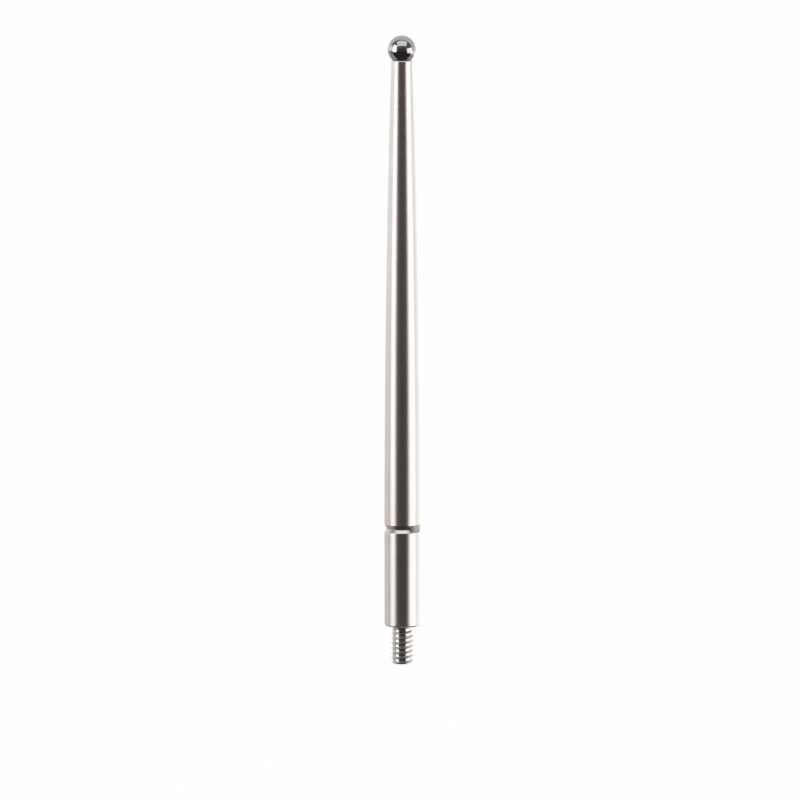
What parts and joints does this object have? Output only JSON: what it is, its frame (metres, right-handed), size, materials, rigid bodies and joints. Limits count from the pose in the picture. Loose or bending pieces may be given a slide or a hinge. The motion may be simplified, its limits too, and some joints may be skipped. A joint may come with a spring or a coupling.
{
  "type": "ball indicator stylus",
  "caption": "Slim tapered metal stylus with a polished ball tip and a fine threaded stud, for a lever-type dial test indicator.",
  "frame": {"origin": "centre of the flat annular seating shoulder, where the shank meets the threaded stud", "axes": "+Z along the stylus axis, from the shoulder towards the ball; the threaded stud points along -Z. Turned all round, so X and Y are free."},
  "size_m": [0.0024, 0.0024, 0.0446],
  "materials": {
    "ball_metal": "polished",
    "stem_steel": "polished",
    "shank_steel": "polished"
  },
  "bodies": {
    "root": {"contact_ball": "ball_metal", "tapered_stem": "stem_steel", "threaded_shank": "shank_steel"}
  },
  "joints": []
}
